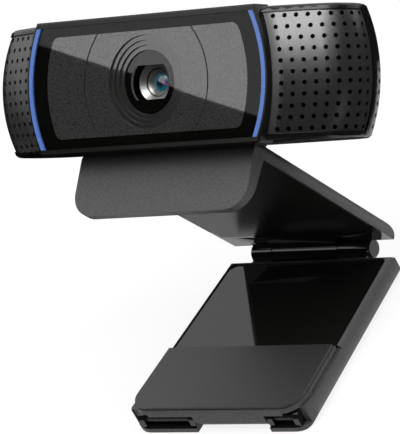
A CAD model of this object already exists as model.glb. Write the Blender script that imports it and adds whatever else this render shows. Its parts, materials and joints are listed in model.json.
"""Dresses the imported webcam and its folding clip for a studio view."""

import json
from math import atan2, cos, hypot, pi, radians, sin

import bpy
from bpy.props import FloatProperty, FloatVectorProperty, PointerProperty
from mathutils import Matrix, Vector

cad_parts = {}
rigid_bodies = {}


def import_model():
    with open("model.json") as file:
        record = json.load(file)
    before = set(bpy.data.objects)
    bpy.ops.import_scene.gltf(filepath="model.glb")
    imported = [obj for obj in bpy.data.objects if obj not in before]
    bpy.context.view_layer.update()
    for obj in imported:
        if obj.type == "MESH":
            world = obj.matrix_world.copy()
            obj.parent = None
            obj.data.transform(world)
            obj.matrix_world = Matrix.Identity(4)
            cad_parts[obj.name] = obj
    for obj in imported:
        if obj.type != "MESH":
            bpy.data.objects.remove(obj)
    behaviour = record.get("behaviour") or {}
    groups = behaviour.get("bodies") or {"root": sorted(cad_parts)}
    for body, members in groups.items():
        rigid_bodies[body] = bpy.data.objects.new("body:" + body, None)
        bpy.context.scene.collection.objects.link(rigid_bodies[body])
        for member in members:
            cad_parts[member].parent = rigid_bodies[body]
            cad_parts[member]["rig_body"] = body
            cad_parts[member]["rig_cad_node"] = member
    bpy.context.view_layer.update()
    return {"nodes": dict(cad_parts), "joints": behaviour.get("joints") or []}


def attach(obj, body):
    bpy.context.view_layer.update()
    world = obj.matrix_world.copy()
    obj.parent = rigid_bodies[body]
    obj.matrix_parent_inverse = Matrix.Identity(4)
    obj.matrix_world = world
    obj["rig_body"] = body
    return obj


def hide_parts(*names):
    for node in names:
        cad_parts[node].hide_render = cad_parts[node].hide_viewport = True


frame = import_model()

bl_info = {
    "name": "Clip webcam",
    "version": (1, 0, 0),
    "blender": (4, 5, 0),
    "location": "View3D > Sidebar > Webcam",
    "description": "Finishes, stage and camera for a webcam on a folding monitor clip",
    "category": "Object",
}

JOINTS = {joint["name"]: joint for joint in frame["joints"]}

# All lengths are in metres. A pair of them is where a change over the surface starts and ends.

# The lens axis gives the head's frame: X right, Y back along the axis, Z up,
# with its origin at the middle of the window's face
LENS_AXIS = Vector(JOINTS["lens_focus"]["axis"])
HEAD_PITCH = atan2(-LENS_AXIS.z, -LENS_AXIS.y)
FACE_CENTRE = Vector((0.0, 0.004763, 0.071711))
HEAD_FRAME = Matrix.Translation(FACE_CENTRE) @ Matrix.Rotation(HEAD_PITCH, 4, "X")

# The arm stands on the clip's hinge at this angle
HINGE_AXIS = Vector(JOINTS["clip_hinge"]["pos_m"])
CLIP_ANGLE = radians(61)
ARM_UP = Vector((0.0, sin(CLIP_ANGLE), cos(CLIP_ANGLE)))

# Camera of the photograph, in the head's frame
PHOTO_WIDTH = 400
FOCAL_PIXELS = 3847.0
SENSOR_WIDTH = 36.0
NEAREST_VIEW = 0.01
CAMERA_PLACE = Vector((0.51163, -0.63663, -0.04423))
CAMERA_RIGHT = Vector((0.78662, 0.61641, -0.03557))
CAMERA_DOWN = Vector((-0.03943, -0.00735, -0.99920))

# Edges turned by more than this stay sharp
CREASE_ANGLE = radians(38)
WELD_DISTANCE = 1e-6

# Bump of the moulded grain
GRAIN_DEPTH = 0.0001
CLIP_GRAIN = {"scale": 3200.0, "strength": 0.6}
RUBBER_GRAIN = {"scale": 3000.0, "strength": 0.3}
GRILLE_GRAIN = {"scale": 5000.0, "strength": 0.2}

# Range of a noise that is stretched to a full change
SPECKLE_RANGE = (0.3, 0.7)
MOTTLE_RANGE = (0.35, 0.65)
TRACK_RANGE = (0.48, 0.52)
INSERT_SPECKLE = 3000.0
SPECKLE_DARK = 0.6
SPECKLE_LIGHT = 1.4

# Roughness of the polished face, and of the clip's plastic and its hinge
POLISHED = 0.015
CLIP_ROUGHNESS = 0.5
KNUCKLE_ROUGHNESS = 0.08

# Distances from the lens axis
GRILLE_EDGE = (0.0332, 0.0356)
INSERT_GROOVE = (0.01664, 0.01694)
GROOVE_EDGE = 0.00004
GROOVE_SHADE = 0.9
FUNNEL_RIM = 0.01
FUNNEL_STEP = 0.00103
FUNNEL_FLOOR = (0.00686, 0.00690)
BARREL_LINE = (0.00280, 0.00314)
BARREL_LINE_EDGE = 0.00006
DRIVE_BORE = (0.0053, 0.0051)
GLASS_TINT = (0.0006, 0.0016)

# Share of a funnel ring beside its step that counts as the step's wall
FUNNEL_WALL = (0.02, 0.03)

# Depth behind the window's face at which the aperture's inner wall starts
APERTURE_WALL = (0.00162, 0.00166)

# Coloured flare in the front glass, beside the lens axis
FLARE_CENTRE = (0.0012, 0.0, -0.0002)
FLARE_EDGE = (0.0006, 0.0002)

# The barrel's nose is opened into a dish by growing its rings from a point on the lens axis
NOSE_RADIUS = 0.0033
NOSE_TOLERANCE = 0.00005
DISH_CENTRE = (0.0, 0.00932, 0.0)

# The clear cover hardly shows
COVER_ALPHA = 0.01

# Polished parts of the clip: round the hinge, under the arm's rear end and in the hooks' windows
KNUCKLE_EDGE = (0.0026, 0.0030)
RIM_HEIGHT = (0.0017, 0.0019)
RIM_REACH = (0.010, 0.011)
HOOK_SIDE = 0.02195
HOOK_SIDE_EDGE = 0.00005
HOOK_FRONT = (-0.0218, -0.0220)
HOOK_FLOOR = (0.00100, 0.00105)

# Floor, and the share of it that is plain white to the camera and in reflections
FLOOR_DROP = 0.0001
FLOOR_TONE = 0.85
FLOOR_GLOW = 0.85

# Black cards lying on the floor: place and size
CARD_HEIGHT = 0.0002
FLOOR_CARDS = {
    "dark_card_low_front": ((0.0, -0.29), (0.8, 0.5)),
    "dark_card_low_left": ((-0.36, 0.255), (0.6, 0.59)),
    "dark_card_low_middle": ((-0.025, 0.08), (0.09, 0.08)),
    "dark_card_low_right": ((0.28, 0.0), (0.44, 0.24)),
    "dark_card_low_back": ((0.22, 0.27), (0.54, 0.34)),
}

BLACK = (0.0, 0.0, 0.0)
X_AXIS = (1.0, 0.0, 0.0)
Z_AXIS = (0.0, 0.0, 1.0)


class Socket:
    """A shader value that takes part in Python arithmetic by adding Math nodes."""

    def __init__(self, finish, socket):
        self.finish = finish
        self.socket = socket

    def math(self, operation, first, second):
        """A Math node on two values."""
        return self.finish.node("ShaderNodeMath", {"operation": operation}, {0: first, 1: second})

    def __sub__(self, other):
        return self.math("SUBTRACT", self, other)

    def __rsub__(self, other):
        return self.math("SUBTRACT", other, self)

    def __mul__(self, other):
        return self.math("MULTIPLY", self, other)

    __rmul__ = __mul__


class Finish:
    """A procedural material with one Principled shader."""

    def __init__(self, name, color, roughness, metallic=0.0, coat=0.0, specular=0.5):
        self.material = bpy.data.materials.new(name)
        self.material.use_nodes = True
        self.tree = self.material.node_tree
        self.shader = self.tree.nodes["Principled BSDF"]
        self.set("Base Color", (*color, 1.0))
        self.set("Roughness", roughness)
        self.set("Metallic", metallic)
        self.set("Coat Weight", coat)
        self.set("Specular IOR Level", specular)

    def set(self, socket, value):
        """Set a shader socket to a number, a colour or a linked value."""
        self.feed(self.shader.inputs[socket], value)

    def feed(self, socket, value):
        """Give a node's input a value or a link."""
        if isinstance(value, Socket):
            self.tree.links.new(value.socket, socket)
        else:
            socket.default_value = value

    def node(self, kind, settings, inputs, output=0):
        """Add a node with its settings and its inputs' values or links, and give one output."""
        made = self.tree.nodes.new(kind)
        for name, value in settings.items():
            setattr(made, name, value)
        for key, value in inputs.items():
            self.feed(made.inputs[key], value)
        return Socket(self, made.outputs[output])

    def vector(self, operation, inputs, output=0):
        """A Vector Math node."""
        return self.node("ShaderNodeVectorMath", {"operation": operation}, inputs, output)

    def place(self):
        """Object coordinates."""
        return self.node("ShaderNodeTexCoord", {}, {}, "Object")

    def head_place(self):
        """Coordinates in the head's frame."""
        turn = (HEAD_PITCH, 0.0, 0.0)
        inputs = {"Vector": self.place(), "Location": FACE_CENTRE, "Rotation": turn}
        return self.node("ShaderNodeMapping", {"vector_type": "TEXTURE"}, inputs)

    def coordinate(self, place, axis):
        """One coordinate of a place."""
        return self.node("ShaderNodeSeparateXYZ", {}, {0: place}, axis)

    def axis_distance(self, place, centre, kept):
        """Distance from an axis, where kept is 1 across the axis and 0 along it."""
        offset = self.vector("SUBTRACT", {0: place, 1: centre})
        across = self.vector("MULTIPLY", {0: offset, 1: kept})
        return self.vector("LENGTH", {0: across}, "Value")

    def lens_distance(self, centre=(0.0, 0.0, 0.0)):
        """Distance from the lens axis, or from a line beside it."""
        return self.axis_distance(self.head_place(), centre, (1.0, 0.0, 1.0))

    def hinge_distance(self):
        """Distance from the axis of the clip's hinge."""
        return self.axis_distance(self.place(), HINGE_AXIS, (0.0, 1.0, 1.0))

    def ramp(self, value, start, end, first=0.0, last=1.0):
        """A value turned from first at start to last at end, smoothly."""
        limits = {"From Min": start, "From Max": end, "To Min": first, "To Max": last}
        settings = {"interpolation_type": "SMOOTHSTEP"}
        return self.node("ShaderNodeMapRange", settings, {"Value": value, **limits})

    def share(self, mask, first, last):
        """A number turned from first where a mask is 0 to last where it is 1."""
        return self.ramp(mask, 0.0, 1.0, first, last)

    def band(self, value, inner, outer, edge):
        """A mask that is 1 where a value lies between two limits."""
        return self.ramp(value, inner, inner + edge) * self.ramp(value, outer, outer - edge)

    def blend(self, mask, first, second):
        """A colour turned from first where a mask is 0 to second where it is 1."""
        ends = [end if isinstance(end, Socket) else (*end, 1.0) for end in (first, second)]
        inputs = {"Factor": mask, 6: ends[0], 7: ends[1]}
        return self.node("ShaderNodeMix", {"data_type": "RGBA"}, inputs, 2)

    def noise(self, scale):
        """A fine cloudy noise from 0 to 1."""
        inputs = {"Vector": self.place(), "Scale": scale, "Detail": 2.0}
        return self.node("ShaderNodeTexNoise", {}, inputs)

    def grain(self, scale, strength, mask=1.0):
        """A fine moulded grain as bump, where a mask is 1."""
        height = self.noise(scale) * mask
        inputs = {"Strength": strength, "Distance": GRAIN_DEPTH, "Height": height}
        self.set("Normal", self.node("ShaderNodeBump", {}, inputs))

    def speckle(self, scale):
        """A fine tone, darker and lighter than 1."""
        return self.ramp(self.noise(scale), *SPECKLE_RANGE, SPECKLE_DARK, SPECKLE_LIGHT)

    def toned(self, color, tone):
        """A colour made darker or lighter by a tone."""
        return self.vector("SCALE", {0: color, "Scale": tone})

    def moulded(self, color):
        """A colour with the fine light and dark of the clip's grain."""
        return self.toned(color, self.speckle(CLIP_GRAIN["scale"]))

    def mottle(self, scale, low, high):
        """A faint unevenness of the gloss."""
        self.set("Roughness", self.ramp(self.noise(scale), *MOTTLE_RANGE, low, high))


def paint(finish, *pieces):
    """Give pieces a finish."""
    for piece in pieces:
        piece.data.materials.clear()
        piece.data.materials.append(finish.material)


def dress(finish, *names):
    """Give CAD nodes a finish."""
    paint(finish, *(frame["nodes"][name] for name in names))


def copy_node(name):
    """A welded copy of a CAD node, left as the active object."""
    node = frame["nodes"][name]
    bpy.ops.object.select_all(action="DESELECT")
    node.select_set(True)
    bpy.context.view_layer.objects.active = node
    bpy.ops.object.duplicate()
    piece = bpy.context.object
    piece.name = name + "_smooth"
    del piece["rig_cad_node"]
    bpy.ops.object.mode_set(mode="EDIT")
    bpy.ops.mesh.select_all(action="SELECT")
    bpy.ops.mesh.remove_doubles(threshold=WELD_DISTANCE)
    bpy.ops.object.mode_set(mode="OBJECT")
    bpy.ops.mesh.customdata_custom_splitnormals_clear()
    return piece


def stand_in(finish, name, piece):
    """Shade the active copy smoothly, let it stand for its CAD node and give it a finish."""
    bpy.ops.object.shade_smooth_by_angle(angle=CREASE_ANGLE, keep_sharp_edges=False)
    bpy.ops.object.modifier_add(type="WEIGHTED_NORMAL")
    piece.modifiers[-1].keep_sharp = True
    bpy.ops.object.modifier_apply(modifier=piece.modifiers[-1].name)
    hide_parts(name)
    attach(piece, frame["nodes"][name]["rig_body"])
    paint(finish, piece)


def smooth(finish, *names):
    """Stand smooth-shaded copies for CAD nodes with rounded forms, and give them a finish."""
    for name in names:
        stand_in(finish, name, copy_node(name))


def in_head(point):
    """A point of the head's frame in the part's own frame."""
    return HEAD_FRAME @ Vector(point)


class ShellSettings(bpy.types.PropertyGroup):
    """Colours and fit of the head's shell and face"""

    shell_color: FloatVectorProperty(
        name="Shell",
        description="Glossy rails and rear housing",
        subtype="COLOR",
        default=(0.004, 0.004, 0.0035),
    )
    grille_color: FloatVectorProperty(
        name="Grille",
        description="Perforated ends",
        subtype="COLOR",
        default=(0.012, 0.012, 0.012),
    )
    window_color: FloatVectorProperty(
        name="Window",
        description="Dark plate round the insert",
        subtype="COLOR",
        default=(0.0045, 0.0045, 0.004),
    )
    insert_color: FloatVectorProperty(
        name="Insert",
        description="Grey insert round the lens",
        subtype="COLOR",
        default=(0.050, 0.049, 0.048),
    )
    strip_color: FloatVectorProperty(
        name="Light strip",
        description="Curved light guides",
        subtype="COLOR",
        default=(0.055, 0.125, 0.37),
    )
    cover_lift: FloatProperty(
        name="Cover lift",
        description="Gap under the clear cover, so that it shares no plane with the insert",
        unit="LENGTH",
        precision=6,
        default=2e-5,
    )


class LensSettings(bpy.types.PropertyGroup):
    """Colours and dish of the lens and what surrounds it"""

    funnel_color: FloatVectorProperty(
        name="Funnel",
        description="Stepped rings round the lens",
        subtype="COLOR",
        default=(0.040, 0.039, 0.038),
    )
    black_color: FloatVectorProperty(
        name="Black parts",
        description="Funnel floor, aperture ring and focus drive",
        subtype="COLOR",
        default=(0.0045, 0.0045, 0.004),
    )
    wall_color: FloatVectorProperty(
        name="Aperture wall",
        description="Bright inner wall of the aperture ring",
        subtype="COLOR",
        default=(0.22, 0.22, 0.215),
    )
    barrel_color: FloatVectorProperty(
        name="Barrel",
        description="Satin metal of the lens barrel",
        subtype="COLOR",
        default=(0.25, 0.25, 0.245),
    )
    line_color: FloatVectorProperty(
        name="Barrel line",
        description="Dark ring between the barrel and its glass",
        subtype="COLOR",
        default=(0.03, 0.03, 0.03),
    )
    bore_color: FloatVectorProperty(
        name="Drive bore",
        description="Bright bore of the focus drive",
        subtype="COLOR",
        default=(0.3, 0.3, 0.29),
    )
    glass_color: FloatVectorProperty(
        name="Glass middle",
        description="Dark middle of the front glass",
        subtype="COLOR",
        default=(0.004, 0.012, 0.03),
    )
    coating_color: FloatVectorProperty(
        name="Glass edge",
        description="Coating towards the edge of the front glass",
        subtype="COLOR",
        default=(0.01, 0.1, 0.14),
    )
    flare_color: FloatVectorProperty(
        name="Flare",
        description="Spot of coloured coating in the front glass",
        subtype="COLOR",
        default=(0.26, 0.02, 0.13),
    )
    dish_growth: FloatProperty(
        name="Dish",
        description="How much wider the barrel's nose opens round the front glass",
        subtype="FACTOR",
        min=1.0,
        max=1.5,
        default=1.3,
    )


class ClipSettings(bpy.types.PropertyGroup):
    """Colours of the folding clip"""

    clip_color: FloatVectorProperty(
        name="Clip",
        description="Textured plastic of arm, leg and foot",
        subtype="COLOR",
        default=(0.033, 0.033, 0.033),
    )
    knuckle_color: FloatVectorProperty(
        name="Knuckles",
        description="Polished hinge knuckles",
        subtype="COLOR",
        default=(0.006, 0.006, 0.006),
    )
    foot_color: FloatVectorProperty(
        name="Foot",
        description="Rubber face of the foot",
        subtype="COLOR",
        default=(0.016, 0.016, 0.016),
    )
    pad_color: FloatVectorProperty(
        name="Pads",
        description="Rubber pads and liner",
        subtype="COLOR",
        default=(0.006, 0.006, 0.0055),
    )
    steel_color: FloatVectorProperty(
        name="Tilt pin",
        description="Steel of the tilt pin and its washers",
        subtype="COLOR",
        default=(0.4, 0.4, 0.4),
    )
    pin_color: FloatVectorProperty(
        name="Hinge pins",
        description="Blackened steel of the hinge and foot pins",
        subtype="COLOR",
        default=(0.02, 0.02, 0.02),
    )
    brass_color: FloatVectorProperty(
        name="Socket",
        description="Brass of the tripod socket",
        subtype="COLOR",
        default=(0.6, 0.42, 0.15),
    )


class InsideSettings(bpy.types.PropertyGroup):
    """Colours of the pieces inside the head"""

    board_color: FloatVectorProperty(
        name="Board",
        description="Coated circuit board",
        subtype="COLOR",
        default=(0.014, 0.068, 0.025),
    )
    copper_color: FloatVectorProperty(
        name="Tracks",
        description="Board over its copper",
        subtype="COLOR",
        default=(0.024, 0.11, 0.035),
    )
    steel_color: FloatVectorProperty(
        name="Steel",
        description="Shield, screws and microphones",
        subtype="COLOR",
        default=(0.4, 0.4, 0.4),
    )
    component_color: FloatVectorProperty(
        name="Components",
        description="Moulded component bodies",
        subtype="COLOR",
        default=(0.011, 0.011, 0.011),
    )
    boot_color: FloatVectorProperty(
        name="Boots",
        description="Rubber boots of the microphones",
        subtype="COLOR",
        default=(0.007, 0.007, 0.007),
    )


class StageSettings(bpy.types.PropertyGroup):
    """Floor and light levels of the studio"""

    floor_size: FloatProperty(
        name="Floor",
        description="Side of the square floor",
        unit="LENGTH",
        default=8.0,
    )
    key_radiance: FloatProperty(
        name="Key light",
        description="Brightness of the front left softbox",
        default=1.9,
    )
    top_radiance: FloatProperty(
        name="Top light",
        description="Brightness of the overhead softbox",
        default=2.0,
    )
    front_radiance: FloatProperty(
        name="Front light",
        description="Brightness of the overhead front softbox",
        default=6.8,
    )
    side_radiance: FloatProperty(
        name="Side light",
        description="Brightness of the right softbox",
        default=11.0,
    )
    fill_level: FloatProperty(
        name="Fill",
        description="Even light from all sides",
        subtype="FACTOR",
        min=0.0,
        max=1.0,
        default=0.3,
    )


class WEBCAM_OT_shell(bpy.types.Operator):
    """Finish the head's shell and grilles"""

    bl_idname = "webcam.shell"
    bl_label = "Finish shell"

    def execute(self, context):
        colors = context.scene.webcam_shell
        gloss = Finish("shell_gloss", colors.shell_color, roughness=0.18, specular=0.28)
        gloss.mottle(scale=400.0, low=0.17, high=0.19)
        smooth(gloss, "front_frame", "rear_housing")

        grille = Finish("grille_satin", colors.grille_color, roughness=0.3, specular=0.9)
        grille.grain(**GRILLE_GRAIN)
        edge = grille.ramp(grille.lens_distance(), *GRILLE_EDGE, first=0.6, last=0.27)
        grille.set("Roughness", edge)
        dress(grille, "grille_left", "grille_right")

        gland = Finish("gland_rubber", colors.shell_color, roughness=0.6)
        gland.grain(**RUBBER_GRAIN)
        smooth(gland, "cable_gland")
        return {"FINISHED"}


class WEBCAM_OT_face(bpy.types.Operator):
    """Finish the window, insert, cover and light strips"""

    bl_idname = "webcam.face"
    bl_label = "Finish face"

    def execute(self, context):
        colors = context.scene.webcam_shell
        window = Finish("window_black", colors.window_color, POLISHED, specular=0.2)
        window.mottle(scale=300.0, low=0.013, high=0.017)
        smooth(window, "front_window")

        insert = Finish("insert_grey", colors.insert_color, POLISHED, specular=1.0)
        groove = insert.band(insert.lens_distance(), *INSERT_GROOVE, GROOVE_EDGE)
        tone = insert.speckle(INSERT_SPECKLE) * (1 - GROOVE_SHADE * groove)
        insert.set("Base Color", insert.toned(colors.insert_color, tone))
        insert.set("Roughness", insert.share(groove, POLISHED, 0.6))
        smooth(insert, "face_insert")

        self.lift_cover(colors.cover_lift)

        strip = Finish("light_guide", colors.strip_color, roughness=0.25)
        strip.mottle(scale=600.0, low=0.22, high=0.28)
        smooth(strip, "light_strip_left", "light_strip_right")
        return {"FINISHED"}

    def lift_cover(self, gap):
        """Set the clear cover just off the insert."""
        piece = copy_node("cover_glass")
        bpy.ops.object.mode_set(mode="EDIT")
        bpy.ops.mesh.select_all(action="SELECT")
        bpy.ops.transform.translate(value=LENS_AXIS * gap)
        bpy.ops.object.mode_set(mode="OBJECT")
        cover = Finish("cover_clear", BLACK, roughness=0.02, specular=0.0)
        cover.set("Alpha", COVER_ALPHA)
        stand_in(cover, "cover_glass", piece)


class WEBCAM_OT_lens(bpy.types.Operator):
    """Finish the lens funnel, barrel and glass"""

    bl_idname = "webcam.lens"
    bl_label = "Finish lens"

    def execute(self, context):
        colors = context.scene.webcam_lens
        self.funnel(colors)

        aperture = Finish("aperture_black", colors.black_color, POLISHED)
        wall = aperture.ramp(aperture.coordinate(aperture.head_place(), "Y"), *APERTURE_WALL)
        aperture.set("Base Color", aperture.blend(wall, colors.black_color, colors.wall_color))
        aperture.set("Roughness", aperture.share(wall, POLISHED, 0.4))
        smooth(aperture, "aperture_ring")

        barrel = Finish("barrel_metal", colors.barrel_color, roughness=0.36, metallic=0.9)
        line = barrel.band(barrel.lens_distance(), *BARREL_LINE, BARREL_LINE_EDGE)
        barrel.set("Base Color", barrel.blend(line, colors.barrel_color, colors.line_color))
        self.dish(barrel, colors.dish_growth)

        drive = Finish("drive_housing", colors.black_color, roughness=0.35)
        bore = drive.ramp(drive.lens_distance(), *DRIVE_BORE)
        drive.set("Base Color", drive.blend(bore, colors.black_color, colors.bore_color))
        smooth(drive, "autofocus_housing")

        glass = Finish("lens_glass", colors.glass_color, roughness=0.05, coat=1.0)
        outward = glass.ramp(glass.lens_distance(), *GLASS_TINT)
        tint = glass.blend(outward, colors.glass_color, colors.coating_color)
        flare = glass.ramp(glass.lens_distance(FLARE_CENTRE), *FLARE_EDGE)
        glass.set("Base Color", glass.blend(flare, tint, colors.flare_color))
        smooth(glass, "front_lens")
        return {"FINISHED"}

    def funnel(self, colors):
        """Polish the funnel's flat rings, leave its steps dull and its floor black."""
        funnel = Finish("funnel_grey", colors.funnel_color, POLISHED)
        across = funnel.lens_distance()
        rings = funnel.ramp(across, *FUNNEL_FLOOR)
        steps = (across - FUNNEL_RIM) * (1 / FUNNEL_STEP)
        to_wall = steps.math("PINGPONG", steps, 0.5)
        flat = funnel.ramp(to_wall, *FUNNEL_WALL)
        funnel.set("Base Color", funnel.blend(rings, colors.black_color, colors.funnel_color))
        funnel.set("Coat Weight", rings * flat)
        funnel.set("Roughness", funnel.share(flat, 0.35, POLISHED))
        smooth(funnel, "lens_bezel")

    def dish(self, finish, growth):
        """Open the barrel's nose into a metal dish round the front glass."""
        piece = copy_node("lens_barrel")
        bpy.ops.object.mode_set(mode="EDIT")
        bpy.ops.mesh.select_all(action="DESELECT")
        bpy.ops.object.mode_set(mode="OBJECT")
        to_head = HEAD_FRAME.inverted()
        for vertex in piece.data.vertices:
            place = to_head @ vertex.co
            vertex.select = abs(hypot(place.x, place.z) - NOSE_RADIUS) < NOSE_TOLERANCE
        bpy.ops.object.mode_set(mode="EDIT")
        bpy.ops.transform.resize(value=(growth,) * 3, center_override=in_head(DISH_CENTRE))
        bpy.ops.object.mode_set(mode="OBJECT")
        stand_in(finish, "lens_barrel", piece)


class WEBCAM_OT_clip(bpy.types.Operator):
    """Finish the arm, leg, foot, pads and pins"""

    bl_idname = "webcam.clip"
    bl_label = "Finish clip"

    def execute(self, context):
        colors = context.scene.webcam_clip
        leg = Finish("clip_plastic", colors.clip_color, CLIP_ROUGHNESS)
        self.polish_knuckles(leg, colors, self.outside_hooks(leg))
        smooth(leg, "lower_leg")

        flap = Finish("flap_plastic", colors.clip_color, CLIP_ROUGHNESS)
        flap.set("Base Color", flap.moulded(colors.clip_color))
        flap.grain(**CLIP_GRAIN)
        smooth(flap, "foot_flap")

        arm = Finish("arm_plastic", colors.clip_color, CLIP_ROUGHNESS)
        self.polish_knuckles(arm, colors, self.outside_rim(arm))
        smooth(arm, "upper_arm")

        self.pads(colors)
        self.pins(colors)
        return {"FINISHED"}

    def outside_rim(self, finish):
        """A mask that is 0 on the arm's rear underside, round the hinge."""
        offset = finish.vector("SUBTRACT", {0: finish.place(), 1: HINGE_AXIS})
        height = finish.vector("DOT_PRODUCT", {0: offset, 1: ARM_UP}, "Value")
        above = finish.ramp(height, *RIM_HEIGHT)
        far = finish.ramp(finish.hinge_distance(), *RIM_REACH)
        return 1 - (1 - above) * (1 - far)

    def outside_hooks(self, finish):
        """A mask that is 0 in the hooks' windows at the leg's front end."""
        x, y, z = (finish.coordinate(finish.place(), axis) for axis in "XYZ")
        within = finish.band(x, -HOOK_SIDE, HOOK_SIDE, HOOK_SIDE_EDGE)
        ahead = finish.ramp(y, *HOOK_FRONT)
        raised = finish.ramp(z, *HOOK_FLOOR)
        return 1 - within * ahead * raised

    def polish_knuckles(self, finish, colors, outside):
        """Polished black round the clip's hinge and where outside is 0, with grain elsewhere."""
        away = finish.ramp(finish.hinge_distance(), *KNUCKLE_EDGE) * outside
        plastic = finish.moulded(colors.clip_color)
        finish.set("Base Color", finish.blend(away, colors.knuckle_color, plastic))
        finish.set("Roughness", finish.share(away, KNUCKLE_ROUGHNESS, CLIP_ROUGHNESS))
        finish.grain(**CLIP_GRAIN, mask=away)

    def pads(self, colors):
        """Finish the rubber liner, pads and the foot's face."""
        liner = Finish("liner_smooth", colors.pad_color, roughness=0.06)
        liner.mottle(scale=300.0, low=0.055, high=0.065)
        dress(liner, "leg_liner")
        pad = Finish("pad_rubber", colors.pad_color, roughness=0.2, specular=0.08)
        pad.mottle(scale=900.0, low=0.18, high=0.22)
        dress(pad, "arm_pad", "lip_pad")
        foot = Finish("foot_rubber", colors.foot_color, roughness=0.45)
        foot.set("Base Color", foot.moulded(colors.foot_color))
        foot.grain(**RUBBER_GRAIN)
        smooth(foot, "flap_pad")

    def pins(self, colors):
        """Finish the pins, washers and the tripod socket."""
        steel = Finish("pin_steel", colors.steel_color, roughness=0.3, metallic=1.0)
        steel.mottle(scale=1500.0, low=0.25, high=0.35)
        smooth(steel, "tilt_pin", "tilt_washer_left", "tilt_washer_right")
        black_steel = Finish("pin_black", colors.pin_color, roughness=0.3, metallic=0.6)
        black_steel.mottle(scale=1500.0, low=0.27, high=0.33)
        smooth(black_steel, "hinge_pin", "foot_pin")
        brass = Finish("socket_brass", colors.brass_color, roughness=0.3, metallic=1.0)
        brass.mottle(scale=1500.0, low=0.25, high=0.35)
        smooth(brass, "tripod_insert")


class WEBCAM_OT_inside(bpy.types.Operator):
    """Finish the board, sensor, lamps and microphones inside the head"""

    bl_idname = "webcam.inside"
    bl_label = "Finish inside"

    def execute(self, context):
        colors = context.scene.webcam_inside
        board = Finish("board_green", colors.board_color, roughness=0.4)
        tracks = board.ramp(board.noise(900.0), *TRACK_RANGE)
        board.set("Base Color", board.blend(tracks, colors.board_color, colors.copper_color))
        dress(board, "main_board")

        steel = Finish("can_steel", colors.steel_color, roughness=0.3, metallic=1.0)
        steel.mottle(scale=1500.0, low=0.25, high=0.4)
        screws = (f"board_screw_{number}" for number in range(1, 5))
        dress(steel, "shield_can", "microphone_left", "microphone_right", *screws)

        component = Finish("component_black", colors.component_color, roughness=0.5)
        component.mottle(scale=2000.0, low=0.4, high=0.55)
        dress(component, "image_sensor", "cable_header", "led_left", "led_right")

        boot = Finish("boot_rubber", colors.boot_color, roughness=0.7)
        boot.grain(**RUBBER_GRAIN)
        dress(boot, "mic_boot_left", "mic_boot_right")
        return {"FINISHED"}


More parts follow.
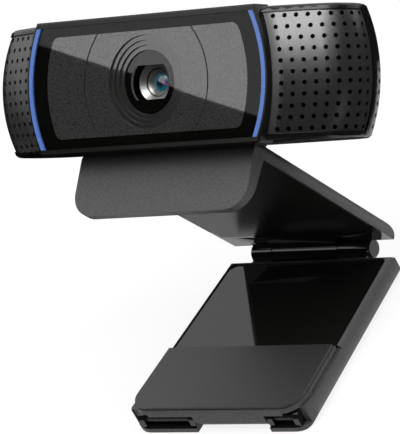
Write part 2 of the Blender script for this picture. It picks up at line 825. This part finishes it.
class WEBCAM_OT_stage(bpy.types.Operator):
    """Build the floor, lights and camera"""

    bl_idname = "webcam.stage"
    bl_label = "Build stage"

    def execute(self, context):
        settings = context.scene.webcam_stage
        self.floor(settings.floor_size)
        self.world(context.scene, settings.fill_level)
        self.lights(settings)
        self.dark_cards()
        self.camera(context.scene)
        context.scene.view_settings.view_transform = "Standard"
        return {"FINISHED"}

    def background_rays(self, tree):
        """A socket that is 1 for camera, glossy and transmission rays."""
        rays = tree.nodes.new("ShaderNodeLightPath")
        total = rays.outputs["Is Camera Ray"]
        for name in ("Is Glossy Ray", "Is Transmission Ray"):
            join = tree.nodes.new("ShaderNodeMath")
            join.operation = "MAXIMUM"
            tree.links.new(total, join.inputs[0])
            tree.links.new(rays.outputs[name], join.inputs[1])
            total = join.outputs[0]
        return total

    def floor(self, size):
        """A pale floor that keeps the shadow and is nearly white to the camera."""
        bpy.ops.object.select_all(action="DESELECT")
        bpy.ops.mesh.primitive_plane_add(size=size, location=(0, 0, -FLOOR_DROP))
        floor = bpy.context.object
        floor.name = "studio_floor"
        material = bpy.data.materials.new("floor_white")
        material.use_nodes = True
        tree = material.node_tree
        tree.nodes.clear()
        matt = tree.nodes.new("ShaderNodeBsdfDiffuse")
        matt.inputs["Color"].default_value = (FLOOR_TONE, FLOOR_TONE, FLOOR_TONE, 1.0)
        glow = tree.nodes.new("ShaderNodeEmission")
        mix = tree.nodes.new("ShaderNodeMixShader")
        share = tree.nodes.new("ShaderNodeMath")
        share.operation = "MULTIPLY"
        share.inputs[1].default_value = FLOOR_GLOW
        output = tree.nodes.new("ShaderNodeOutputMaterial")
        tree.links.new(self.background_rays(tree), share.inputs[0])
        tree.links.new(share.outputs[0], mix.inputs["Fac"])
        tree.links.new(matt.outputs[0], mix.inputs[1])
        tree.links.new(glow.outputs[0], mix.inputs[2])
        tree.links.new(mix.outputs[0], output.inputs["Surface"])
        floor.data.materials.append(material)

    def world(self, scene, fill_level):
        """An even fill that is white to the camera and in reflections."""
        world = bpy.data.worlds.new("studio")
        scene.world = world
        world.use_nodes = True
        tree = world.node_tree
        background = tree.nodes["Background"]
        background.inputs["Color"].default_value = (1, 1, 1, 1)
        level = tree.nodes.new("ShaderNodeMapRange")
        level.inputs["To Min"].default_value = fill_level
        level.inputs["To Max"].default_value = 1.0
        tree.links.new(self.background_rays(tree), level.inputs["Value"])
        tree.links.new(level.outputs[0], background.inputs["Strength"])

    def lights(self, settings):
        """The softboxes, placed in the head's frame."""
        self.softbox(
            "key_light",
            place=(-0.3125, -0.4647, 0.2237),
            target=(-0.3125, 0.0, 0.2237),
            size=(0.5, 0.4),
            radiance=settings.key_radiance,
            roll=-0.309,
        )
        self.softbox(
            "top_light",
            place=(0.15, -0.1, 0.75),
            size=(0.6, 0.5),
            radiance=settings.top_radiance,
        )
        front = self.softbox(
            "front_light",
            place=(0.18, -0.6, 0.55),
            size=(0.9, 0.42),
            radiance=settings.front_radiance,
        )
        self.spare(front, "front_window", "face_insert", "lens_bezel", "aperture_ring")
        side = self.softbox(
            "side_light",
            place=(0.66, 0.07, 0.21),
            size=(0.3, 0.3),
            radiance=settings.side_radiance,
        )
        side.visible_glossy = False

    def softbox(self, name, place, size, radiance, target=(0.0, 0.0, 0.0), roll=0.0):
        """An area light at a place in the head's frame, facing a target there."""
        width, height = size
        light = bpy.data.lights.new(name, "AREA")
        light.shape = "RECTANGLE"
        light.size = width
        light.size_y = height
        light.energy = radiance * pi * width * height
        lamp = bpy.data.objects.new(name, light)
        bpy.context.scene.collection.objects.link(lamp)
        lamp.location = in_head(place)
        aim = (in_head(target) - in_head(place)).to_track_quat("-Z", "Y")
        lamp.rotation_euler = (aim.to_matrix() @ Matrix.Rotation(roll, 3, "Z")).to_euler()
        lamp.visible_camera = False
        return lamp

    def spare(self, lamp, *names):
        """Keep a lamp off the face, which would mirror it from the front."""
        spared = bpy.data.collections.new(lamp.name + "_spared")
        for name in names:
            spared.objects.link(bpy.data.objects[name + "_smooth"])
        for entry in spared.collection_objects:
            entry.light_linking.link_state = "EXCLUDE"
        lamp.light_linking.receiver_collection = spared

    def dark_cards(self):
        """Black cards that give the gloss its dark reflections."""
        left_front = in_head((-0.525, -0.52, -0.1))
        right_front = in_head((0.4, -0.52, -0.24))
        self.dark_card("dark_card_front", left_front, -LENS_AXIS, (0.85, 1.0))
        self.dark_card("dark_card_front_right", right_front, -LENS_AXIS, (1.0, 0.72))
        self.dark_card("dark_card_left", (-0.5, 0.0, 0.01), X_AXIS, (0.6, 0.22))
        self.dark_card("dark_card_right", (0.5, 0.1, 0.1), X_AXIS, (0.8, 0.8))
        for name, (place, size) in FLOOR_CARDS.items():
            self.dark_card(name, (*place, CARD_HEIGHT), Z_AXIS, size)

    def dark_card(self, name, place, normal, size):
        """A black card that only reflections show."""
        bpy.ops.object.select_all(action="DESELECT")
        aim = Vector(normal).to_track_quat("Z", "Y").to_euler()
        bpy.ops.mesh.primitive_plane_add(size=1.0, location=place, rotation=aim)
        card = bpy.context.object
        card.name = name
        card.scale = (*size, 1.0)
        card.visible_camera = False
        card.visible_diffuse = False
        card.visible_shadow = False
        paint(Finish(name, BLACK, roughness=1.0, specular=0.0), card)

    def camera(self, scene):
        """The photograph's camera."""
        data = bpy.data.cameras.new("photo_camera")
        data.sensor_fit = "HORIZONTAL"
        data.sensor_width = SENSOR_WIDTH
        data.lens = FOCAL_PIXELS / PHOTO_WIDTH * SENSOR_WIDTH
        data.clip_start = NEAREST_VIEW
        camera = bpy.data.objects.new("photo_camera", data)
        scene.collection.objects.link(camera)
        turn = HEAD_FRAME.to_3x3()
        right = turn @ CAMERA_RIGHT
        up = turn @ -CAMERA_DOWN
        matrix = Matrix((right, up, right.cross(up))).transposed().to_4x4()
        matrix.translation = in_head(CAMERA_PLACE)
        camera.matrix_world = matrix
        scene.camera = camera


class WEBCAM_PT_panel(bpy.types.Panel):
    """Lists the webcam's settings and operators"""

    bl_label = "Webcam"
    bl_space_type = "VIEW_3D"
    bl_region_type = "UI"
    bl_category = "Webcam"

    def draw(self, context):
        for operator in OPERATORS:
            self.layout.operator(operator.bl_idname)
        for group in GROUPS:
            settings = getattr(context.scene, group)
            for name in settings.bl_rna.properties.keys():
                if name not in ("rna_type", "name"):
                    self.layout.prop(settings, name)


GROUPS = {
    "webcam_shell": ShellSettings,
    "webcam_lens": LensSettings,
    "webcam_clip": ClipSettings,
    "webcam_inside": InsideSettings,
    "webcam_stage": StageSettings,
}
OPERATORS = (
    WEBCAM_OT_shell,
    WEBCAM_OT_face,
    WEBCAM_OT_lens,
    WEBCAM_OT_clip,
    WEBCAM_OT_inside,
    WEBCAM_OT_stage,
)
CLASSES = (*GROUPS.values(), *OPERATORS, WEBCAM_PT_panel)


def register():
    for entry in CLASSES:
        bpy.utils.register_class(entry)
    for name, group in GROUPS.items():
        setattr(bpy.types.Scene, name, PointerProperty(type=group))


def unregister():
    for name in GROUPS:
        delattr(bpy.types.Scene, name)
    for entry in reversed(CLASSES):
        bpy.utils.unregister_class(entry)


def main():
    register()
    bpy.ops.webcam.shell()
    bpy.ops.webcam.face()
    bpy.ops.webcam.lens()
    bpy.ops.webcam.clip()
    bpy.ops.webcam.inside()
    bpy.ops.webcam.stage()


if __name__ == "__main__":
    main()
